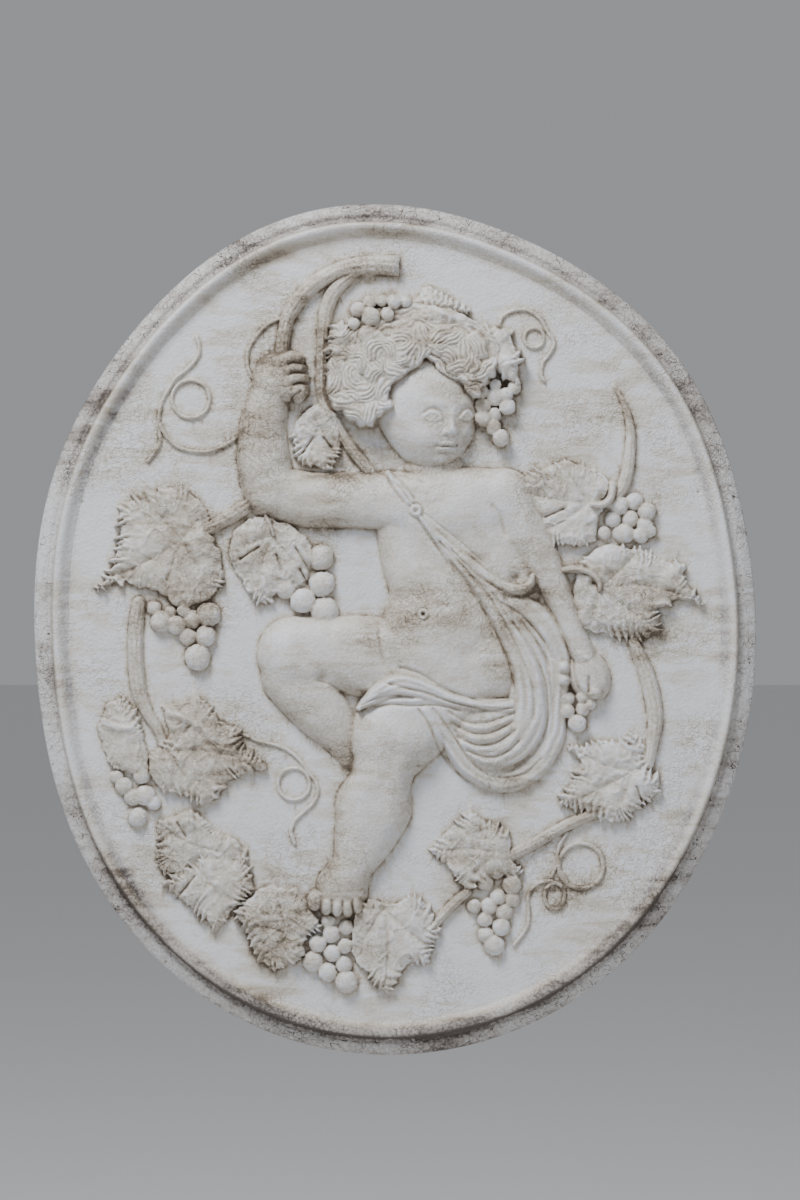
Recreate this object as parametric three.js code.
import * as THREE from 'three';

// An oval plaster plaque that hangs against a wall. Its flat back lies at Y = 0, its carved face looks
// along -Y, +Z is up, and the origin is the middle of the back. Sizes are in millimetres.
const WIDTH = 594;
const HEIGHT = 700;

// Heights of the slab and of its moulded rim, measured out from the wall.
const BACK_CHAMFER = 1.2;
const SIDE = 13;
const BAND_EDGE = 16;
const BAND = 20;
const COVE = 19;
const CREST = 29;
const LIP = 28;
const FIELD = 21;
const RIM_WIDTH = 30;

// The carving is laid out on a sheet of small steps, 724 across the plaque and 854 down it. A place on the
// sheet is [across, down] and the middle of the plaque is CENTRE.
const STEPS_ACROSS = 724;
const STEPS_DOWN = 854;
const CENTRE = [395, 629];
const STEP_X = WIDTH / STEPS_ACROSS;
const STEP_Z = HEIGHT / STEPS_DOWN;
const STEP = (STEP_X + STEP_Z) / 2;

// The casting's edge is an oval that wanders a little: each wave is [count, size, angle of its top].
const EDGE_WAVES = [[1, 1.7, -141], [3, 1.7, 5], [4, 1.9, 41], [5, 1.1, 30], [6, 1.3, -17], [7, 0.8, -2]];

// The whole carving is kept low, and its forms roll down at their edges: a larger roll is a softer edge.
const RELIEF_DEPTH = 0.82;
const EDGE_ROLL = 0.62;

// The grapes press against each other, so each is drawn a little larger than its place. The bed under them
// reaches a little past them, and stands a little above their middles.
const GRAPE_SWELL = 1.12;
const BED_SWELL = 1.35;
const BED_RISE = 1.5;

// How finely the face is worked. The head is worked more finely than the rest.
const RIM_STATIONS = 104;
const GRID_STEP = 2;
const FACE_TRIANGLES = 6900;
const COARSEST_ERROR = 400;
const FINEST_ERROR = 2;
const ERROR_STEP = 0.85;
const HEAD_CARE = 5;
const HEAD_REACH = 58;

const radians = degrees => degrees * Math.PI / 180;
const clamp = (value, low, high) => Math.min(high, Math.max(low, value));
const smooth = value => {
  const t = clamp(value, 0, 1);
  return t * t * (3 - 2 * t);
};

function hashed(i, j, seed) {
  const value = Math.sin(i * 127.1 + j * 311.7 + seed * 74.7) * 43758.5453;
  return value - Math.floor(value);
}

// Smooth random values between -1 and 1 that change over about the given size.
function noise(x, y, size, seed) {
  const [i, j] = [Math.floor(x / size), Math.floor(y / size)];
  const [u, v] = [smooth(x / size - i), smooth(y / size - j)];
  const top = hashed(i, j, seed) * (1 - u) + hashed(i + 1, j, seed) * u;
  const low = hashed(i, j + 1, seed) * (1 - u) + hashed(i + 1, j + 1, seed) * u;
  return 2 * (top * (1 - v) + low * v) - 1;
}

function wavyRadius(angle) {
  const oval = 1 / Math.hypot(Math.cos(angle) / (WIDTH / 2), Math.sin(angle) / (HEIGHT / 2));
  return EDGE_WAVES.reduce((sum, [count, size, top]) => sum + size * Math.cos(count * (angle - radians(top))),
    oval);
}

// How much the wavy oval is spread so that it has exactly the width and height named above.
function spreadTo(size, direction) {
  const places = Array.from({ length: 360 }, (_, i) => wavyRadius(radians(i)) * direction(radians(i)));
  return size / (Math.max(...places) - Math.min(...places));
}

const SPREAD_X = spreadTo(WIDTH, Math.cos);
const SPREAD_Z = spreadTo(HEIGHT, Math.sin);

function edgePlace(angle, inward) {
  const radius = wavyRadius(angle) - inward;
  return [radius * Math.cos(angle) * SPREAD_X, radius * Math.sin(angle) * SPREAD_Z];
}

// The rim's section, as [distance in from the edge, height out from the wall].
const RIM_SECTION = [
  [0, BACK_CHAMFER], [0, SIDE], [0.6, BAND_EDGE - 1], [1.8, BAND_EDGE], [9.6, BAND], [11.6, COVE],
  [14.2, COVE + 0.8], [15.2, COVE + 3], [16.6, CREST - 1.4], [18.4, CREST], [21.6, LIP],
  [25.4, FIELD + 2.6], [RIM_WIDTH, FIELD],
];

// The relief is a grid of heights above the field, in millimetres, one for each place on the sheet.
const GRID_LEFT = 60;
const GRID_TOP = 225;
const GRID_COLUMNS = 335;
const GRID_ROWS = 405;
const relief = new Float64Array(GRID_COLUMNS * GRID_ROWS);

function paint(low, high, height) {
  const firstColumn = Math.max(0, Math.floor((low[0] - GRID_LEFT) / GRID_STEP));
  const lastColumn = Math.min(GRID_COLUMNS - 1, Math.ceil((high[0] - GRID_LEFT) / GRID_STEP));
  const firstRow = Math.max(0, Math.floor((low[1] - GRID_TOP) / GRID_STEP));
  const lastRow = Math.min(GRID_ROWS - 1, Math.ceil((high[1] - GRID_TOP) / GRID_STEP));
  for (let row = firstRow; row <= lastRow; row++) {
    for (let column = firstColumn; column <= lastColumn; column++) {
      const cell = row * GRID_COLUMNS + column;
      const x = GRID_LEFT + column * GRID_STEP;
      const y = GRID_TOP + row * GRID_STEP;
      relief[cell] = height(x, y, relief[cell]);
    }
  }
}

function bounds(points, margin) {
  const low = [0, 1].map(axis => Math.min(...points.map(point => point[axis])) - margin);
  const high = [0, 1].map(axis => Math.max(...points.map(point => point[axis])) + margin);
  return [low, high];
}

function blend(first, second, radius) {
  const near = Math.max(0, radius - Math.abs(first - second));
  return Math.max(first, second) + (radius > 0 ? near * near / (4 * radius) : 0);
}

// A smooth route through control points. Any further numbers on a point are carried along it.
function spline(points, steps = 6) {
  const route = [];
  for (let i = 0; i < points.length - 1; i++) {
    const [p0, p1, p2, p3] = [points[Math.max(0, i - 1)], points[i], points[i + 1],
      points[Math.min(points.length - 1, i + 2)]];
    for (let k = 0; k < steps; k++) {
      const t = k / steps;
      route.push(p1.map((_, axis) => 0.5 * (2 * p1[axis] + (p2[axis] - p0[axis]) * t
        + (2 * p0[axis] - 5 * p1[axis] + 4 * p2[axis] - p3[axis]) * t * t
        + (3 * p1[axis] - p0[axis] - 3 * p2[axis] + p3[axis]) * t * t * t)));
    }
  }
  route.push(points[points.length - 1]);
  return route;
}

// The nearest place on a route: its distance, the numbers carried there and the way travelled to it.
function nearest(route, x, y) {
  let best = { distance: Infinity, at: route[0], along: 0 };
  let travelled = 0;
  for (let i = 0; i < route.length - 1; i++) {
    const [a, b] = [route[i], route[i + 1]];
    const [dx, dy] = [b[0] - a[0], b[1] - a[1]];
    const length = Math.hypot(dx, dy);
    const t = length > 0 ? clamp(((x - a[0]) * dx + (y - a[1]) * dy) / length ** 2, 0, 1) : 0;
    const distance = Math.hypot(a[0] + t * dx - x, a[1] + t * dy - y);
    if (distance < best.distance) {
      const at = a.map((value, axis) => value + t * (b[axis] - value));
      best = { distance, at, along: travelled + t * length };
    }
    travelled += length;
  }
  return best;
}

// A form's rounded section: flat on top and rolled at its edge.
const rolled = share => Math.max(0, 1 - share ** 2.6) ** EDGE_ROLL;

// A limb follows points [across, down, radius, height] and merges softly into what it meets. A cut one
// starts square instead of round.
function limb(points, merge = 3, cut = false) {
  const widest = Math.max(...points.map(point => point[2]));
  const route = spline(points, Math.floor(6 + widest * 0.7));
  paint(...bounds(points, widest + 4), (x, y, old) => {
    const { distance, at, along } = nearest(route, x, y);
    const top = cut && along <= 0 ? 0 : rolled(distance / at[2]);
    return top > 0 ? blend(old, at[3] * top, merge * top) : old;
  });
}

// A soft swelling [across, down, half width, half height, height] with no edge of its own.
function swell([cx, cy, rx, ry, height]) {
  paint([cx - rx, cy - ry], [cx + rx, cy + ry], (x, y, old) => {
    const share = Math.min(1, Math.hypot((x - cx) / rx, (y - cy) / ry));
    return old + height * (1 - share ** 2) ** 2;
  });
}

// A rounded mass [across, down, half width, half height, height, turn in degrees].
function mass([cx, cy, rx, ry, height, turn = 0], merge = 5) {
  const [c, s] = [Math.cos(radians(turn)), Math.sin(radians(turn))];
  const reach = Math.max(rx, ry);
  paint([cx - reach, cy - reach], [cx + reach, cy + reach], (x, y, old) => {
    const across = ((x - cx) * c + (y - cy) * s) / rx;
    const down = (-(x - cx) * s + (y - cy) * c) / ry;
    const top = rolled(Math.hypot(across, down));
    return top > 0 ? blend(old, height * top, merge * top) : old;
  });
}

// Soft lines pressed in (negative depth) or raised along routes of points [across, down].
function lines(group, width, depth) {
  const routes = group.map(points => spline(points));
  if (group.length) {
    paint(...bounds(group.flat(), width * 3), (x, y, old) => {
      const distance = Math.min(...routes.map(route => nearest(route, x, y).distance));
      return old + depth * Math.exp(-((distance / width) ** 2));
    });
  }
}

// A soft dent round one place, or a swelling.
function dimple([cx, cy], width, depth) {
  paint([cx - width * 3, cy - width * 3], [cx + width * 3, cy + width * 3], (x, y, old) =>
    old + depth * Math.exp(-((x - cx) ** 2 + (y - cy) ** 2) / width ** 2));
}

// A grape is a ball [across, down, radius], a little flattened, with its middle at the given height.
function grape([cx, cy, radius], stand) {
  paint([cx - radius, cy - radius], [cx + radius, cy + radius], (x, y, old) => {
    const share = Math.hypot(x - cx, y - cy) / radius;
    return share < 1 ? Math.max(old, stand + 0.9 * radius * STEP * Math.sqrt(1 - share * share)) : old;
  });
}

// Grapes [across, down, radius] on a low bed that they share.
function bunch(grapes, stand) {
  grapes.forEach(([cx, cy, radius]) => {
    mass([cx, cy, radius * BED_SWELL, radius * BED_SWELL, stand + BED_RISE], 3);
  });
  grapes.forEach(([cx, cy, radius], i) => {
    const size = radius * GRAPE_SWELL * (1 - 0.12 * hashed(cx, cy, 1));
    grape([cx, cy, size], stand + 0.8 * (i % 3));
  });
}

// How deep a place lies inside a closed route, negative outside it, and the way along the route there.
function insideDistance(outline, x, y) {
  let inside = false;
  for (let i = 0, j = outline.length - 1; i < outline.length; j = i++) {
    const [a, b] = [outline[i], outline[j]];
    if ((a[1] > y) !== (b[1] > y) && x < (b[0] - a[0]) * (y - a[1]) / (b[1] - a[1]) + a[0]) {
      inside = !inside;
    }
  }
  const { distance, along } = nearest(outline, x, y);
  return { depth: inside ? distance : -distance, along };
}

// A claw rises slowly and falls back sharply over its share of the edge.
const clawShape = share => (share < 0.6 ? share / 0.6 : (1 - share) / 0.4) ** 1.3;

// A vine leaf drawn clockwise: claws of uneven strength along its edge, plump lobes, veins, slits and
// folds. Each claw stands on a ridge that runs in from the edge. Plain gives places [across, down, radius]
// where the edge has no claws.
function leaf({ edge, height, veins = [], slits = [], folds = [], plump = 3.5, pitch = 8, tooth = 4,
  plain = [] }) {
  const outline = spline([...edge, edge[0]], 8);
  const seed = edge[0][0];
  paint(...bounds(outline, tooth + 3), (x, y, old) => {
    const place = insideDistance(outline, x, y);
    const wander = 0.9 * noise(place.along, 0, 19, seed) - 0.07 * clamp(place.depth, -5, 8);
    const station = place.along / pitch + wander;
    const number = Math.floor(station);
    const bare = plain.map(([cx, cy, radius]) => smooth(Math.hypot(x - cx, y - cy) / radius - 0.4));
    const strength = Math.min(...bare, 1) * clamp(1.9 * hashed(number, seed, 3) - 0.45, 0, 1.25);
    const claw = clawShape(station - number);
    const depth = place.depth + tooth * strength * claw;
    if (depth <= 0) {
      return old;
    }
    const ridge = 2 * (claw - 0.4) * strength * Math.exp(-Math.max(0, depth - 3) / 4);
    const sunk = 1 - 0.35 * smooth(0.5 + noise(x, y, 34, seed + 1));
    const body = height * sunk + plump * (1 - Math.exp(-depth / 9)) + ridge;
    return Math.max(old, body * smooth(0.15 + depth / 2));
  });
  lines(veins, 3.2, -2);
  lines(slits, 2.2, -4.5);
  lines(folds, 4, 3);
}

// The child's figure. A limb's points are [across, down, radius, height], a mass is [across, down, half
// width, half height, height, turn] and a swelling is [across, down, half width, half height, height].
const TORSO = [
  [438, 528, 66, 18], [434, 560, 53, 18.5], [437, 590, 48, 20], [440, 620, 60, 22], [444, 650, 63, 22],
  [448, 676, 54, 20],
];
const SHOULDERS = [[398, 501, 30, 18], [440, 508, 42, 18.5], [498, 500, 32, 19.5]];
const BODY_MASSES = [
  [488, 668, 34, 38, 19.5, 0], [432, 668, 56, 34, 20, 8], [490, 545, 40, 46, 16, 0],
  [506, 580, 34, 44, 14, -20],
];
const BODY_SWELLS = [
  [404, 520, 34, 26, 2.2], [462, 514, 40, 28, 2.2], [436, 626, 50, 42, 3.6], [408, 575, 22, 26, 1],
  [280, 655, 30, 30, 2], [300, 470, 30, 24, -1], [262, 470, 24, 26, 1.6], [350, 500, 34, 20, 1],
  [395, 735, 30, 24, 1.8], [368, 800, 18, 46, 1.8], [384, 812, 20, 28, 1.5], [520, 520, 16, 34, 1.2],
  [344, 884, 18, 14, 1.5], [588, 668, 12, 16, 1.5],
];
const RAISED_ARM = [[398, 501, 30, 19], [350, 500, 28, 18], [310, 500, 28, 18], [274, 492, 27, 18]];
const RAISED_FOREARM = [
  [270, 490, 28, 18], [264, 462, 27, 19], [263, 428, 24, 19], [269, 400, 21, 19], [274, 386, 21, 18.5],
];
const FIST = [280, 379, 28, 26, 19, 20];
const FINGERS = [
  [[280, 364, 10, 17.5], [290, 359, 8.5, 19.5], [298, 359.5, 7, 18.5]],
  [[284, 373, 9, 18], [293, 369, 7.5, 20], [301, 369.5, 6, 19]],
  [[286, 382, 9, 18], [295, 379, 7.5, 20], [303, 379, 6.5, 19]],
  [[286, 393, 11, 18], [296, 391, 9, 19.5], [303, 390, 7, 18.5], [298, 397, 7, 17]],
];
const FINGER_LINES = [
  [[289, 366], [295, 362.5], [305, 364]],
  [[289, 376], [296, 373], [307, 373]],
  [[294, 386], [299, 383], [310, 383]],
];
const LOWERED_ARM = [
  [505, 495, 27, 19], [526, 532, 22, 18], [544, 566, 18, 17], [560, 600, 14, 16], [571, 628, 12.5, 15],
  [583, 655, 13, 15],
];
const LOWERED_HAND = [589, 676, 21, 27, 15, -20];
const FINGERTIPS = [[563, 667, 7.5, 8, 16, 0], [563, 680, 7.5, 7.5, 16, 0], [594, 692, 9, 8, 17, 0]];
const HAND_RIDGES = [[[579, 654], [592, 662], [603, 675], [606, 690]]];
const HAND_SLITS = [[[588, 677], [588, 691]], [[573, 660], [574, 676], [580, 692]]];
const BENT_THIGH = [[405, 660, 42, 20], [350, 655, 40, 21], [298, 652, 39, 22], [292, 656, 37, 22]];
const BENT_SHIN = [[294, 676, 33, 19], [318, 706, 30, 17], [338, 732, 22, 12], [352, 757, 14, 4]];
const THIGH_UNDER_CLOTH = [[448, 694, 42, 21], [415, 715, 46, 23], [392, 738, 44, 25]];
const LOWER_LEG = [
  [391, 738, 43, 25], [382, 775, 31, 24], [374, 805, 39, 22], [364, 838, 31, 20], [352, 868, 20, 17],
];
const LEG_BULGE = [410, 738, 28, 27, 23.5, 0];
const FOOT = [[356, 858, 20, 17.5], [349, 873, 23, 17.5], [343, 886, 27, 16]];
const TOE_BASE = [337, 901, 28, 14, 15, 8];
const TOES = [
  [315.5, 900, 9, 12, 17, 24], [327, 904.5, 7.4, 11, 17.5, 8], [337.5, 906, 7, 11, 17.5, 2],
  [347.5, 907, 6.8, 11, 17, -2], [357, 904, 6.4, 10, 16, -10],
];
const TOE_SLITS = [
  [[321, 896], [322, 911]], [[332, 899], [332, 914]], [[343, 900], [343, 914]], [[353, 899], [353, 912]],
];
const KNEE_HOLLOW = [323, 677];
const NAVEL = [423, 614];
const BODY_CREASES = [
  [[398, 475], [410, 478], [423, 483]],
  [[378, 622], [381, 650], [387, 668]],
  [[372, 530], [360, 527], [335, 529]],
  [[505, 535], [500, 518], [492, 506]],
  [[318, 680], [332, 685], [344, 694], [356, 706]],
  [[418, 764], [427, 766], [436, 764]],
];
const SOFT_CREASES = [
  [[390, 600], [412, 596], [440, 600], [462, 610]],
  [[465, 655], [482, 648], [494, 642]],
  [[304, 681], [312, 678], [322, 678]],
  [[420, 560], [440, 566], [458, 562]],
  [[385, 735], [392, 760], [384, 780]],
];

function figure() {
  limb(BENT_SHIN, 4);
  limb(BENT_THIGH, 12);
  limb(TORSO, 6);
  BODY_MASSES.forEach(part => mass(part, 12));
  limb(SHOULDERS, 8);
  limb(LOWERED_ARM, 8);
  mass(LOWERED_HAND, 3);
  FINGERTIPS.forEach(tip => mass(tip, 0.6));
  limb(RAISED_ARM, 8);
  limb(RAISED_FOREARM, 6);
  mass(FIST, 12);
  FINGERS.forEach(finger => limb(finger, 6));
  lines(FINGER_LINES, 2, -1.6);
  limb(THIGH_UNDER_CLOTH, 4);
  limb(LOWER_LEG, 4);
  mass(LEG_BULGE, 8);
  limb(FOOT, 3);
  mass(TOE_BASE, 4);
  TOES.forEach(toe => mass(toe, 4));
  lines(TOE_SLITS, 1.8, -2.5);
  BODY_SWELLS.forEach(swell);
  lines(SOFT_CREASES, 6, -1);
  lines(BODY_CREASES, 3, -1.8);
  lines(HAND_RIDGES, 3, 1.6);
  lines(HAND_SLITS, 2, -2.6);
  dimple(KNEE_HOLLOW, 5, -3);
  dimple(NAVEL, 5.5, -2.4);
}

// The head is an egg seen turned, bowed and tilted, in degrees, with a narrow jaw. Its face is laid out
// in the head's own directions: how far round from the middle line, and how far up from the level of the
// eyes' lower lids.
const NECK = [434, 467, 30, 18, 10, 0];
const HEAD = { centre: [427, 412], across: 51, down: 60, height: 26, turn: 30, bow: 10, tilt: 5 };
const JAW_SHIFT = 0.12;
const JAW_NARROWING = 0.14;
const HEAD_TURNS = [HEAD.tilt, HEAD.bow, HEAD.turn].map(radians);

function headDirection(x, y) {
  const [tilt, bow, turn] = HEAD_TURNS;
  const [dx, dy] = [x - HEAD.centre[0], y - HEAD.centre[1]];
  const across = (dx * Math.cos(tilt) + dy * Math.sin(tilt)) / HEAD.across;
  const up = (dx * Math.sin(tilt) - dy * Math.cos(tilt)) / HEAD.down;
  const jaw = smooth(-up);
  const share = Math.hypot((across - JAW_SHIFT * jaw) / (1 - JAW_NARROWING * jaw), up);
  const out = Math.sqrt(Math.max(0, 1 - across * across - up * up));
  const upHead = up * Math.cos(bow) + out * Math.sin(bow);
  const outBowed = out * Math.cos(bow) - up * Math.sin(bow);
  const round = Math.atan2(across * Math.cos(turn) - outBowed * Math.sin(turn),
    outBowed * Math.cos(turn) + across * Math.sin(turn));
  return { round, up: Math.asin(clamp(upHead, -1, 1)), share };
}

// Where a route of [round, up] on the face lies on the sheet.
function onFace(route) {
  const [tilt, bow, turn] = HEAD_TURNS;
  return route.map(([round, up]) => {
    const [x, y, z] = [Math.sin(round) * Math.cos(up), Math.sin(up), Math.cos(round) * Math.cos(up)];
    const across = (x * Math.cos(turn) + z * Math.sin(turn)) * HEAD.across;
    const bowed = z * Math.cos(turn) - x * Math.sin(turn);
    const high = (y * Math.cos(bow) - bowed * Math.sin(bow)) * HEAD.down;
    return [HEAD.centre[0] + across * Math.cos(tilt) + high * Math.sin(tilt),
      HEAD.centre[1] + across * Math.sin(tilt) - high * Math.cos(tilt)];
  });
}

// A bump on the face: [round, up, half width, half height, height in mm].
const bump = ([atRound, atUp, width, tall, height], { round, up }) =>
  height * Math.exp(-(((round - atRound) / width) ** 2) - (((up - atUp) / tall) ** 2));
const FACE_MIDDLE = [
  [0, 0.6, 0.6, 0.28, 0.8], [0.02, 0.1, 0.085, 0.18, 1.7], [0.03, -0.06, 0.09, 0.1, 2.5],
  [0.04, -0.155, 0.115, 0.08, 3.8], [0, -0.395, 0.15, 0.033, 1.4], [0, -0.495, 0.14, 0.04, 2.1],
  [0, -0.585, 0.18, 0.04, -1.3], [0, -0.75, 0.2, 0.12, 2.6], [0, -0.3, 0.028, 0.05, -0.8],
  [0, -0.42, 0.38, 0.18, 1.8],
];
const FACE_PAIRS = [
  [0.37, 0.11, 0.21, 0.12, -2.4], [0.39, 0.095, 0.145, 0.083, 2.8], [0.36, 0.3, 0.26, 0.065, 1.1],
  [0.5, -0.3, 0.27, 0.24, 3], [0.118, -0.18, 0.055, 0.05, 2.2], [0.27, -0.44, 0.05, 0.05, -1.2],
  [0.09, -0.375, 0.07, 0.028, 0.7],
];
const MOUTH = [[-0.25, -0.42], [-0.1, -0.44], [0, -0.438], [0.1, -0.44], [0.25, -0.42]];

function head() {
  mass(NECK, 3);
  const [cx, cy] = HEAD.centre;
  paint([cx - HEAD.down - 6, cy - HEAD.down - 6], [cx + HEAD.down + 6, cy + HEAD.down + 6], (x, y, old) => {
    const place = headDirection(x, y);
    if (place.share >= 1) {
      return old;
    }
    const mirrored = { round: -place.round, up: place.up };
    const middle = FACE_MIDDLE.reduce((sum, part) => sum + bump(part, place), 0);
    const pairs = FACE_PAIRS.reduce((sum, part) => sum + bump(part, place) + bump(part, mirrored), 0);
    const near = smooth((1 - place.share) * 6);
    return Math.max(old, HEAD.height * rolled(place.share) + (middle + pairs) * near);
  });
  lines([onFace(MOUTH)], 1.8, -1.2);
}

// The hair is one mass with a ragged edge and low curled locks: [across, down, radius, turn in degrees].
// The crown is [across, down, half width, half height] of the dome that it follows.
const LOCKS = [
  [338, 350, 12, 0], [335, 368, 11, 60], [333, 388, 11, 120], [341, 404, 11, 200], [355, 415, 11, 20],
  [371, 414, 11, 90], [384, 406, 10, 170], [350, 380, 12, 250], [366, 394, 12, 150], [382, 391, 11, 300],
  [352, 398, 9, 10], [361, 362, 12, 30], [378, 372, 12, 100], [394, 372, 11, 220], [404, 362, 9, 130],
  [373, 349, 12, 310], [391, 350, 11, 60], [408, 350, 10, 140], [403, 337, 10, 20], [420, 340, 10, 240],
  [421, 352, 9, 80], [436, 350, 9, 190], [437, 338, 10, 330], [449, 356, 9, 40], [452, 343, 10, 160],
  [462, 352, 10, 270], [459, 368, 9, 350], [470, 366, 10, 110], [468, 382, 8, 210], [474, 392, 8, 10],
  [478, 346, 10, 60], [486, 372, 10, 130],
];
const HAIR_CROWN = [422, 385, 100, 90];
const HAIR_EDGE = [
  [389, 408], [391, 393], [400, 381], [416, 371], [427, 361], [435, 369], [445, 379], [460, 385],
  [466, 394], [474, 401], [482, 392], [490, 380], [498, 365], [500, 345], [488, 330], [470, 318],
  [440, 306], [405, 303], [372, 308], [348, 322], [334, 340], [328, 362], [326, 385], [330, 402],
  [342, 412], [352, 420], [363, 427], [374, 421], [382, 417],
];
const LOCK_RISE = 2.2;

function lock([cx, cy, radius, turn], outline, arms = 2) {
  paint([cx - radius, cy - radius], [cx + radius, cy + radius], (x, y, old) => {
    const share = Math.hypot(x - cx, y - cy) / radius;
    if (share >= 1 || insideDistance(outline, x, y).depth < 2) {
      return old;
    }
    const angle = Math.atan2(y - cy, x - cx) + radians(turn) + share * 4;
    return old + LOCK_RISE * (1 - share ** 2) + 1.2 * Math.cos(arms * angle) * share * (1 - share) * 3;
  });
}

function hair() {
  const outline = spline([...HAIR_EDGE, HAIR_EDGE[0]]);
  const [cx, cy, across, down] = HAIR_CROWN;
  paint(...bounds(outline, 5), (x, y, old) => {
    const depth = insideDistance(outline, x, y).depth + 2.4 * noise(x, y, 6, 31);
    if (depth <= 0) {
      return old;
    }
    const out = Math.hypot((x - cx) / across, (y - cy) / down);
    return Math.max(old, (13 + 13.5 * rolled(out)) * smooth(0.3 + depth / 5));
  });
  LOCKS.forEach(place => lock(place, outline));
}

// The wreath of grapes and leaves on the hair, and the bunch that hangs beside the face.
const WREATH_GRAPES = [
  [370, 303, 6], [382, 302, 6], [394, 303, 6.5], [406, 303, 6], [358, 311, 7], [371, 318, 8.5],
  [354, 325, 6.5], [368, 336, 9], [387, 316, 7],
];
const HANGING_GRAPES = [
  [478, 365, 9], [469, 353, 8], [481, 392, 7], [495, 397, 8.5], [483, 406, 7.5], [505, 395, 6.5],
  [514, 388, 6.5], [507, 407, 8], [483, 419, 7.5], [494, 415, 7], [493, 427, 7.5], [500, 438, 8.5],
  [484, 381, 6], [495, 386, 6],
];
const WREATH_LEAVES = [
  { edge: [[327, 350], [330, 332], [340, 323], [352, 329], [360, 343], [356, 360], [343, 368], [331, 364]],
    plain: [[350, 365, 20], [362, 340, 14]], height: 20, plump: 4, veins: [[[332, 345], [345, 347],
    [356, 345]]] },
  { edge: [[384, 322], [404, 309], [430, 306], [456, 312], [474, 324], [466, 334], [440, 328], [410, 328]],
    plain: [[425, 330, 60], [425, 305, 50]], height: 24, plump: 3, tooth: 1.5, veins: [[[392, 322],
    [425, 316], [462, 324]]] },
  { edge: [[412, 308], [421, 291], [430, 288], [446, 296], [457, 303], [470, 312], [452, 314]], height: 14,
    plump: 3, tooth: 2.5 },
  { edge: [[468, 324], [493, 328], [511, 331], [513, 345], [519, 358], [518, 372], [520, 386], [500, 376],
    [486, 362], [474, 345]], plain: [[488, 360, 26]], height: 17, plump: 4, tooth: 4, pitch: 8,
    veins: [[[474, 330], [488, 345], [503, 363]]] },
];

function wreath() {
  WREATH_LEAVES.forEach(leaf);
  bunch(WREATH_GRAPES, 17);
  bunch(HANGING_GRAPES, 9);
}

// The strap over the chest, its ring button and the drapery that it becomes: a sash with a curled end, a
// long outer fold, a band over the lap and the folds that hang below it.
const BUTTON = [416, 511];
const SASH_HOLLOW = [515, 578];
const STRAP = [[388, 474, 5, 21], [402, 492, 5.5, 22], [416, 511, 6, 22]];
const SASH = [
  [418, 515, 4, 22], [438, 538, 8, 22], [463, 565, 13, 21.5], [490, 597, 17, 21], [508, 630, 20, 21],
  [524, 660, 22, 20], [530, 690, 24, 18.5], [525, 722, 24, 17], [508, 746, 22, 16.5], [484, 754, 18, 16.5],
  [466, 742, 13, 16.5],
];
const SASH_END = [
  [462, 556, 7, 21.5], [482, 574, 8, 21], [500, 586, 9, 20.5], [517, 590, 8, 19.5], [529, 585, 5.5, 18],
  [532, 576, 3.5, 16],
];
const DRAPE_SIDE = [
  [516, 602, 14, 17], [542, 628, 17, 15], [558, 660, 13, 11], [556, 705, 11, 10], [551, 740, 13, 9],
  [530, 768, 15, 9], [500, 778, 15, 9.5], [470, 764, 14, 12], [448, 735, 11, 17], [426, 706, 8, 22],
];
const LAP_BAND = [
  [359, 708, 3, 22], [370, 699, 8, 24], [384, 690, 14, 25.5], [402, 684, 17, 26.5], [425, 690, 15, 25.5],
  [450, 699, 11, 23.5], [480, 705, 10, 20.5], [512, 706, 9, 16.5],
];
const LAP_FILL = [486, 728, 38, 34, 19, 0];
const FOLD_RIDGES = [
  [[420, 517], [450, 548], [478, 577], [503, 592], [526, 587]],
  [[424, 522], [455, 560], [485, 604], [505, 645], [519, 680], [521, 718], [508, 745]],
  [[497, 608], [522, 642], [538, 680], [543, 718], [529, 750], [500, 764], [475, 756]],
  [[500, 600], [525, 616], [548, 645], [550, 690], [548, 730]],
  [[455, 717], [472, 726], [490, 726], [512, 717]],
  [[458, 730], [474, 738], [494, 737], [512, 726]],
  [[463, 743], [480, 749], [500, 746], [514, 735]],
  [[424, 710], [437, 731], [452, 757], [470, 775], [500, 786]],
  [[378, 690], [396, 676], [420, 682], [450, 697], [480, 705]],
  [[368, 704], [390, 700], [420, 700]],
];
const FOLD_GROOVES = [
  [[440, 542], [465, 569], [490, 598], [510, 634], [524, 664], [533, 692], [533, 718]],
  [[452, 551], [474, 573], [497, 588], [520, 597], [535, 591]],
  [[497, 600], [522, 616], [543, 640], [551, 658]],
  [[480, 604], [499, 640], [511, 672], [515, 702], [511, 730]],
  [[512, 622], [530, 647], [542, 672], [547, 692], [546, 727], [534, 752], [512, 769]],
  [[400, 667], [420, 673], [440, 686], [465, 696], [490, 702], [512, 699]],
  [[385, 682], [405, 687], [427, 692], [450, 701], [470, 706], [490, 710], [512, 707]],
  [[362, 705], [373, 699], [390, 695], [412, 697]],
  [[373, 707], [390, 704], [412, 705], [440, 705], [460, 710]],
  [[449, 711], [465, 721], [485, 722], [512, 713]],
  [[452, 722], [470, 732], [490, 732], [513, 721]],
  [[457, 736], [475, 744], [495, 742], [514, 730]],
  [[466, 750], [485, 756], [503, 753], [518, 740]],
  [[418, 708], [430, 726], [438, 747], [452, 768], [468, 781]],
  [[433, 708], [441, 718], [457, 741], [467, 757], [479, 769], [498, 777], [524, 773], [541, 758]],
];

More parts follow.
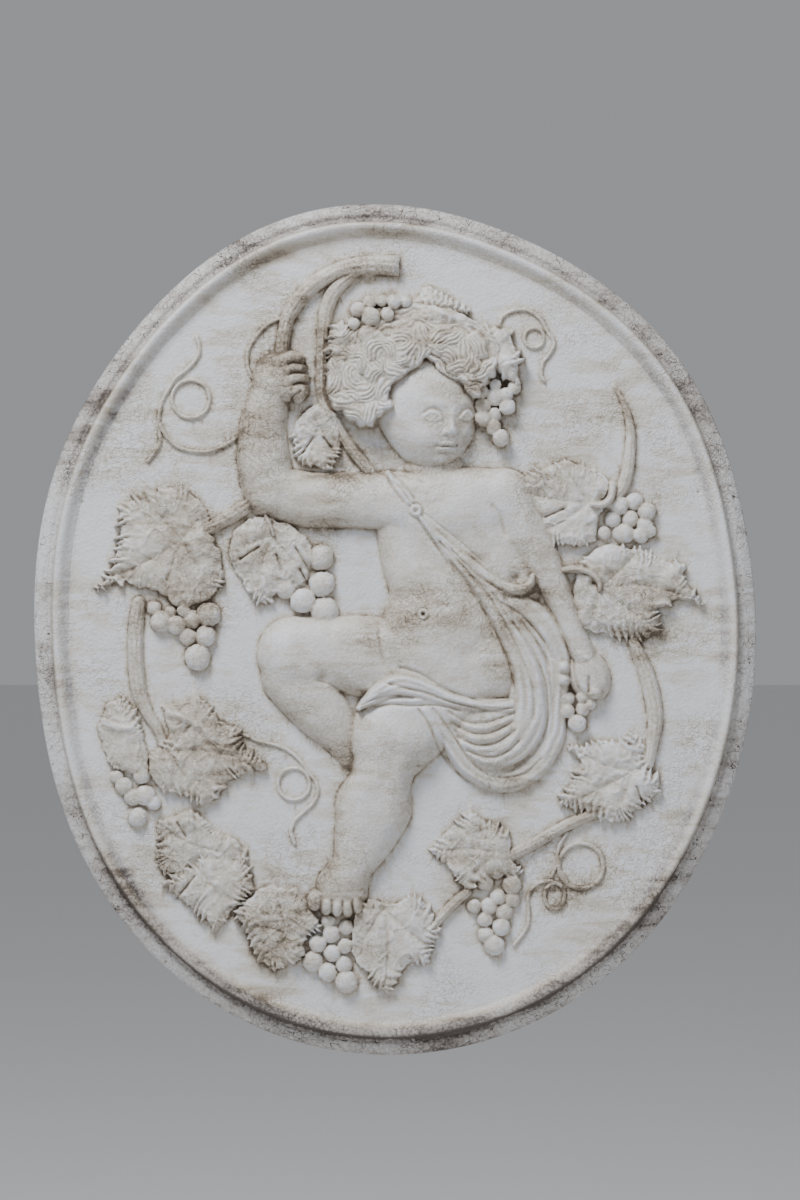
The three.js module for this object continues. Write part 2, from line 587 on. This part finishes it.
function drapery() {
  limb(DRAPE_SIDE, 3);
  limb(SASH, 3);
  limb(SASH_END, 3);
  mass(LAP_FILL, 3);
  limb(LAP_BAND, 3);
  limb(STRAP, 0.5);
  mass([...BUTTON, 8, 8, 24.5], 0.5);
  dimple(BUTTON, 3, -2.4);
  lines(FOLD_GROOVES, 2.4, -2.2);
  lines(FOLD_RIDGES, 2.8, 1.6);
  dimple(SASH_HOLLOW, 5, -5);
}

// The vine: the cut branch in the raised hand with its side shoot, and the stems of the ring.
const BRANCHES = [
  [[399, 266, 10.5, 11], [378, 265, 10, 11], [350, 268, 9.5, 11], [328, 276, 9, 10.5], [310, 288, 8.5, 10],
    [297, 302, 8, 10], [288, 318, 7.5, 10], [284, 335, 7, 10], [282, 352, 7, 12]],
  [[360, 268, 6, 9], [337, 288, 7.5, 9], [328, 305, 7.5, 9], [324, 325, 7, 9], [322, 360, 6, 8],
    [322, 395, 6, 8], [334, 420, 6, 8], [348, 444, 6, 8], [370, 472, 6, 8]],
];
const STEMS = [
  [[206, 530, 7, 8], [233, 515, 7.5, 8], [256, 500, 8, 9]],
  [[139, 603, 7, 8], [136, 632, 8, 8], [136, 660, 8, 8], [139, 690, 8, 8], [147, 712, 6.5, 7],
    [158, 730, 5, 7], [165, 750, 4, 7]],
  [[427, 935, 4.5, 7], [447, 910, 5, 7], [467, 892, 5, 7]],
  [[510, 856, 6.5, 7], [540, 840, 6, 7], [565, 826, 6, 7], [596, 812, 6, 7]],
  [[633, 642, 6, 7], [645, 670, 8, 8], [652, 695, 8.5, 8], [655, 720, 8, 8], [652, 742, 6.5, 8],
    [648, 764, 6, 8]],
  [[614, 386, 1.5, 2], [624, 404, 3, 5], [630, 427, 4.5, 7], [630, 449, 5.5, 7], [627, 472, 6.5, 8],
    [621, 489, 6.5, 8], [608, 503, 6, 9]],
];

function vine() {
  BRANCHES.forEach(branch => limb(branch, 0.5, true));
  STEMS.forEach(stem => limb(stem, 0.5));
}

// The ring of leaves, the stalks that curl over them and the dark hollow that a stalk curls round.
const LEAVES = [
  { edge: [[118, 512], [132, 500], [150, 495], [170, 487], [187, 491], [199, 499], [208, 513], [212, 535],
    [220, 550], [223, 563], [222, 580], [213, 596], [200, 604], [177, 606], [165, 595], [140, 587],
    [118, 582], [97, 591], [111, 570], [118, 549], [120, 530]], plain: [[226, 545, 42], [192, 612, 34],
    [152, 600, 24], [205, 492, 20]], height: 8, tooth: 5, pitch: 10, veins: [[[182, 540], [150, 560],
    [112, 578]], [[182, 540], [160, 515]], [[182, 540], [198, 520]], [[182, 540], [200, 572]], [[182, 540],
    [168, 580]]] },
  { edge: [[104, 712], [112, 701], [124, 699], [134, 708], [140, 722], [146, 740], [150, 756], [148, 772],
    [136, 774], [118, 770], [108, 762], [102, 745], [98, 728]], plain: [[150, 756, 34], [98, 745, 26]],
    height: 7, tooth: 3, folds: [[[105, 722], [118, 727], [133, 727]]] },
  { edge: [[163, 707], [180, 702], [196, 697], [209, 706], [222, 722], [238, 727], [241, 744], [254, 755],
    [269, 769], [247, 772], [230, 780], [222, 792], [204, 804], [184, 795], [161, 790], [150, 772],
    [148, 757], [158, 748], [168, 735], [166, 720]], plain: [[182, 700, 24], [148, 775, 22],
    [170, 722, 14]], height: 9, tooth: 3.5, veins: [[[169, 751], [200, 750], [240, 757]], [[169, 751],
    [190, 725]], [[169, 751], [185, 775]]], folds: [[[170, 712], [190, 720], [215, 738]]] },
  { edge: [[156, 826], [172, 816], [190, 812], [204, 818], [216, 831], [234, 838], [244, 850], [248, 862],
    [222, 866], [200, 862], [182, 874], [164, 872], [156, 856], [160, 840]], plain: [[200, 864, 26],
    [176, 814, 14]], height: 9, tooth: 3, veins: [[[170, 832], [195, 845], [225, 852]]],
    slits: [[[178, 822], [186, 836]]] },
  { edge: [[200, 853], [222, 856], [242, 859], [250, 872], [254, 886], [244, 897], [234, 910], [217, 930],
    [206, 920], [195, 910], [180, 898], [168, 884], [174, 874], [187, 864]], height: 8, tooth: 4,
    veins: [[[195, 865], [215, 888], [226, 915]]], slits: [[[177, 898], [195, 876]]] },
  { edge: [[236, 915], [248, 897], [268, 887], [287, 887], [302, 893], [312, 910], [320, 926], [306, 938],
    [304, 956], [288, 966], [270, 967], [257, 955], [250, 938]], plain: [[275, 884, 26], [306, 915, 14]],
    height: 11, tooth: 3.5, veins: [[[258, 925], [275, 928], [294, 934]], [[288, 932], [280, 905]],
    [[288, 932], [276, 955]]] },
  { edge: [[356, 908], [370, 900], [392, 904], [410, 898], [425, 903], [433, 914], [440, 930], [431, 946],
    [428, 962], [412, 963], [400, 975], [388, 993], [377, 985], [364, 968], [353, 955], [352, 930]],
    plain: [[352, 935, 26], [392, 902, 18]], height: 10, tooth: 3.5, veins: [[[384, 908], [388, 940],
    [386, 980]], [[384, 908], [408, 930], [428, 945]], [[384, 908], [366, 935], [360, 955]]] },
  { edge: [[430, 852], [441, 837], [456, 824], [472, 812], [484, 820], [498, 826], [512, 841], [510, 858],
    [522, 874], [498, 878], [480, 880], [466, 890], [455, 876], [446, 862]], plain: [[512, 850, 20]],
    height: 9, tooth: 4, veins: [[[495, 852], [470, 848], [440, 850]], [[495, 852], [480, 830]],
    [[495, 852], [475, 872]]] },
  { edge: [[568, 747], [590, 745], [606, 740], [622, 742], [634, 735], [645, 746], [645, 766], [658, 778],
    [657, 794], [642, 804], [626, 818], [606, 820], [588, 811], [560, 803], [570, 785], [580, 764],
    [575, 755]], height: 9, tooth: 4, veins: [[[632, 771], [605, 765], [580, 752]], [[632, 771], [606, 785],
    [578, 798]], [[632, 771], [622, 800]]], slits: [[[636, 786], [642, 802]]] },
  { edge: [[576, 570], [594, 549], [611, 544], [630, 548], [650, 553], [667, 562], [684, 565], [684, 578],
    [699, 600], [682, 600], [668, 602], [656, 610], [658, 628], [640, 638], [616, 636], [592, 633],
    [577, 624], [572, 600]], plain: [[572, 600, 26], [600, 548, 20], [585, 634, 14]], height: 9, tooth: 4.5,
    pitch: 10, veins: [[[600, 588], [640, 585], [690, 597]], [[600, 588], [630, 560]], [[600, 588],
    [635, 615]], [[600, 588], [592, 620]]] },
  { edge: [[505, 488], [522, 479], [538, 470], [557, 463], [574, 462], [592, 469], [606, 476], [610, 488],
    [603, 503], [598, 524], [592, 543], [572, 546], [548, 542], [526, 535], [536, 520], [528, 508],
    [517, 497]], plain: [[600, 520, 26], [528, 510, 14], [610, 480, 14]], height: 12, tooth: 4.5,
    veins: [[[588, 503], [555, 500], [515, 490]], [[588, 503], [570, 475]], [[588, 503], [565, 520],
    [535, 533]]], slits: [[[545, 517], [563, 509]]] },
  { edge: [[249, 518], [266, 517], [284, 522], [300, 532], [311, 544], [312, 570], [298, 587], [282, 592],
    [263, 605], [246, 589], [237, 573], [229, 555], [232, 535]], plain: [[232, 540, 34], [298, 525, 30],
    [312, 565, 20]], height: 9, tooth: 3, veins: [[[274, 535], [262, 565], [258, 592]], [[274, 535],
    [292, 560]], [[274, 535], [245, 545]]], slits: [[[241, 559], [259, 547]], [[296, 548], [310, 571]],
    [[277, 555], [282, 570]], [[300, 569], [308, 584]]] },
  { edge: [[292, 436], [298, 418], [310, 407], [324, 404], [337, 414], [342, 434], [339, 454], [329, 470],
    [314, 466], [299, 460]], plain: [[316, 404, 24], [338, 430, 20]], height: 8, tooth: 2.5,
    veins: [[[319, 425], [312, 450]], [[319, 425], [333, 448]]], folds: [[[311, 415], [322, 407],
    [331, 414]]], slits: [[[303, 453], [313, 438]], [[324, 438], [335, 453]]] },
];
const STALKS = [
  [[563, 570, 3, 13], [577, 569, 4, 15], [590, 573, 4.5, 16], [598, 581, 4, 16], [599, 590, 2.5, 15]],
  [[612, 486, 5, 13], [610, 498, 4.5, 16], [602, 505, 4, 17], [592, 505, 3, 16]],
  [[266, 516, 2.5, 10], [270, 524, 2.5, 13], [274, 535, 2, 13]],
];
const STALK_HOLLOWS = [[592, 583], [600, 498]];

function leaves() {
  LEAVES.forEach(leaf);
  STALK_HOLLOWS.forEach(place => dimple(place, 4, -6));
  STALKS.forEach(stalk => limb(stalk, 0.4));
}

// Bunches of grapes, each as [height of the grapes' middles, grapes].
const BUNCHES = [
  [2.5, [[154, 608, 7], [161, 621, 9.5], [177, 625, 9], [192, 619, 9], [208, 614, 11], [206, 636, 10.5],
    [188, 637, 8], [198, 657, 12], [184, 610, 6], [171, 612, 6]]],
  [2, [[117, 777, 6.5], [124, 786, 8.5], [142, 775, 8], [133, 797, 8], [146, 795, 9.5], [154, 803, 7],
    [138, 817, 10]]],
  [3, [[328, 921, 7], [331, 934, 8], [318, 943, 8], [346, 927, 7], [345, 946, 7], [332, 953, 8.5],
    [313, 961, 9.5], [344, 964, 8], [328, 972, 9], [346, 981, 12]]],
  [2.5, [[485, 882, 8], [512, 885, 9.5], [498, 897, 8], [512, 899, 7], [489, 906, 8], [474, 906, 7],
    [504, 912, 8.5], [485, 919, 7.5], [501, 927, 9], [486, 935, 8], [494, 945, 10.5]]],
  [3, [[634, 502, 8.5], [619, 506, 9], [646, 512, 9], [630, 519, 8.5], [613, 519, 8], [644, 525, 7.5],
    [623, 533, 9.5], [640, 535, 8], [650, 531, 6], [604, 533, 6.5]]],
  [3, [[321, 558, 12], [322, 584, 11.5], [303, 601, 12], [325, 611, 13.5], [286, 589, 9.5]]],
  [5, [[568, 698, 6.5], [582, 697, 6], [567, 711, 7], [582, 709, 7], [590, 704, 5.5], [577, 723, 9]]],
];

function carve() {
  vine();
  leaves();
  BUNCHES.forEach(([stand, grapes]) => bunch(grapes, stand));
  figure();
  drapery();
  head();
  hair();
  wreath();
  relief.forEach((height, cell) => {
    relief[cell] = height * RELIEF_DEPTH;
  });
}

// The height above the wall at a place on the face, in millimetres across and up.
function faceHeight(x, z) {
  const column = (CENTRE[0] + x / STEP_X - GRID_LEFT) / GRID_STEP;
  const row = (CENTRE[1] - z / STEP_Z - GRID_TOP) / GRID_STEP;
  const c = clamp(Math.floor(column), 0, GRID_COLUMNS - 2);
  const r = clamp(Math.floor(row), 0, GRID_ROWS - 2);
  const [u, v] = [clamp(column - c, 0, 1), clamp(row - r, 0, 1)];
  const at = (i, j) => relief[(r + j) * GRID_COLUMNS + c + i];
  return FIELD + (at(0, 0) * (1 - u) + at(1, 0) * u) * (1 - v) + (at(0, 1) * (1 - u) + at(1, 1) * u) * v;
}

// The rim's rings, from the back's edge in to the edge of the field.
function rimRings() {
  return RIM_SECTION.map(([inward, height]) => {
    const ring = [];
    for (let i = 0; i < RIM_STATIONS; i++) {
      const [x, z] = edgePlace(i / RIM_STATIONS * 2 * Math.PI, inward);
      ring.push([x, height, z]);
    }
    return ring;
  });
}

// Limits that keep rounding and thin slivers out of the net.
const ROUNDING = 1e-6;
const NEAR_EDGE = 0.02;
const MOST_POINTS = 65536;

// Twice the area of a triangle, positive when it turns left.
const turnOf = (a, b, c) => (b[0] - a[0]) * (c[1] - a[1]) - (b[1] - a[1]) * (c[0] - a[0]);

function insideCircle(a, b, c, p) {
  const [[ax, ay], [bx, by], [cx, cy]] = [a, b, c].map(corner => [corner[0] - p[0], corner[1] - p[1]]);
  const [aa, bb, cc] = [ax * ax + ay * ay, bx * bx + by * by, cx * cx + cy * cy];
  return ax * (by * cc - bb * cy) - ay * (bx * cc - bb * cx) + aa * (bx * cy - by * cx) > ROUNDING;
}

// A net of triangles over the field that grows where it fits the carving worst.
class Net {
  constructor(ring) {
    const far = 1e5;
    this.points = [[-far, -far, 0], [far, -far, 0], [0, far, 0]];
    this.triangles = new Set();
    this.edges = new Map();
    this.add(0, 1, 2);
    ring.forEach(point => this.insert(point, this.locate(point)));
  }

  key(a, b) {
    return a * MOST_POINTS + b;
  }

  add(a, b, c) {
    const triangle = { corners: [a, b, c], error: 0, worst: null };
    this.triangles.add(triangle);
    [[a, b], [b, c], [c, a]].forEach(([from, to]) => this.edges.set(this.key(from, to), triangle));
    return triangle;
  }

  remove(triangle) {
    const [a, b, c] = triangle.corners;
    this.triangles.delete(triangle);
    [[a, b], [b, c], [c, a]].forEach(([from, to]) => this.edges.delete(this.key(from, to)));
  }

  locate(p) {
    for (const triangle of this.triangles) {
      const [a, b, c] = triangle.corners.map(corner => this.points[corner]);
      if (turnOf(a, b, p) >= 0 && turnOf(b, c, p) >= 0 && turnOf(c, a, p) >= 0) {
        return triangle;
      }
    }
    throw new Error('a point lies outside the net');
  }

  insert(point, start) {
    const index = this.points.push(point) - 1;
    const cavity = new Set([start]);
    const waiting = [start];
    while (waiting.length) {
      const [a, b, c] = waiting.pop().corners;
      for (const [from, to] of [[a, b], [b, c], [c, a]]) {
        const other = this.edges.get(this.key(to, from));
        if (other && !cavity.has(other)
          && insideCircle(...other.corners.map(corner => this.points[corner]), point)) {
          cavity.add(other);
          waiting.push(other);
        }
      }
    }
    const shell = [];
    for (const triangle of cavity) {
      const [a, b, c] = triangle.corners;
      for (const [from, to] of [[a, b], [b, c], [c, a]]) {
        const other = this.edges.get(this.key(to, from));
        if (!other || !cavity.has(other)) {
          shell.push([from, to]);
        }
      }
    }
    cavity.forEach(triangle => this.remove(triangle));
    return shell.map(([from, to]) => this.add(from, to, index));
  }

  isOuter(triangle) {
    return triangle.corners.some(corner => corner < 3);
  }
}

// Whether a place on the face, in millimetres across and up, belongs to the head.
const nearHead = ([x, z]) => Math.hypot(CENTRE[0] + x / STEP_X - HEAD.centre[0],
  CENTRE[1] - z / STEP_Z - HEAD.centre[1]) < HEAD_REACH;

// Sums how far a triangle's flat face is from the carving, weighted on the head, and finds the place where
// it is furthest.
function measure(net, triangle) {
  if (net.isOuter(triangle)) {
    return;
  }
  const care = triangle.corners.every(corner => nearHead(net.points[corner])) ? HEAD_CARE : 1;
  const [a, b, c] = triangle.corners.map(corner => net.points[corner]);
  const area = turnOf(a, b, c);
  const [stepX, stepZ] = [GRID_STEP * STEP_X, GRID_STEP * STEP_Z];
  const first = Math.ceil(Math.min(a[0], b[0], c[0]) / stepX);
  const last = Math.floor(Math.max(a[0], b[0], c[0]) / stepX);
  const low = Math.ceil(Math.min(a[1], b[1], c[1]) / stepZ);
  const high = Math.floor(Math.max(a[1], b[1], c[1]) / stepZ);
  let furthest = 0;
  for (let i = first; i <= last; i++) {
    for (let j = low; j <= high; j++) {
      const p = [i * stepX, j * stepZ];
      const [u, v, w] = [turnOf(b, c, p) / area, turnOf(c, a, p) / area, turnOf(a, b, p) / area];
      if (Math.min(u, v, w) < NEAR_EDGE) {
        continue;
      }
      const height = faceHeight(...p);
      const error = Math.abs(height - (u * a[2] + v * b[2] + w * c[2]));
      triangle.error += error * care;
      if (error > furthest) {
        furthest = error;
        triangle.worst = [p[0], p[1], height];
      }
    }
  }
}

function fieldNet(ring) {
  const net = new Net(ring.map(([x, y, z]) => [x, z, y]));
  net.triangles.forEach(triangle => measure(net, triangle));
  for (let level = COARSEST_ERROR; level > FINEST_ERROR; level *= ERROR_STEP) {
    let waiting = [...net.triangles].filter(triangle => triangle.error > level);
    while (waiting.length) {
      const triangle = waiting.pop();
      if (!net.triangles.has(triangle) || net.triangles.size > FACE_TRIANGLES) {
        continue;
      }
      const fresh = net.insert(triangle.worst, triangle);
      fresh.forEach(piece => measure(net, piece));
      waiting = waiting.concat(fresh.filter(piece => piece.error > level));
    }
  }
  return net;
}

// One closed casting: flat back, side, rim and carved field.
function casting() {
  carve();
  const rings = rimRings();
  const backRing = rings[0].map(([x, y, z]) => {
    const share = 1 - BACK_CHAMFER / Math.hypot(x, z);
    return [x * share, 0, z * share];
  });
  const allRings = [backRing, ...rings];
  const positions = allRings.flat();
  const faces = [];
  const count = RIM_STATIONS;
  for (let row = 0; row < allRings.length - 1; row++) {
    for (let i = 0; i < count; i++) {
      const next = (i + 1) % count;
      const [low, high] = [row * count, (row + 1) * count];
      const [a, b, c, d] = [low + i, low + next, high + i, high + next];
      faces.push([a, b, d], [a, d, c]);
    }
  }
  const middle = positions.push([0, 0, 0]) - 1;
  for (let i = 0; i < count; i++) {
    faces.push([middle, (i + 1) % count, i]);
  }
  const net = fieldNet(rings[rings.length - 1]);
  const offset = (allRings.length - 1) * count;
  const places = net.points.map((point, i) => {
    if (i < 3 + count) {
      return offset + i - 3;
    }
    return positions.push([point[0], point[2], point[1]]) - 1;
  });
  net.triangles.forEach(triangle => {
    if (!net.isOuter(triangle)) {
      faces.push(triangle.corners.map(corner => places[corner]));
    }
  });
  const geometry = new THREE.BufferGeometry();
  const vertices = positions.flatMap(([x, y, z]) => [x, -y, z]);
  geometry.setAttribute('position', new THREE.Float32BufferAttribute(vertices, 3));
  geometry.setIndex(faces.flat());
  geometry.computeVertexNormals();
  return geometry;
}

const part = new THREE.Group();
const plaque = new THREE.Mesh(casting());
plaque.name = 'plaster_plaque';
part.add(plaque);

export default part;
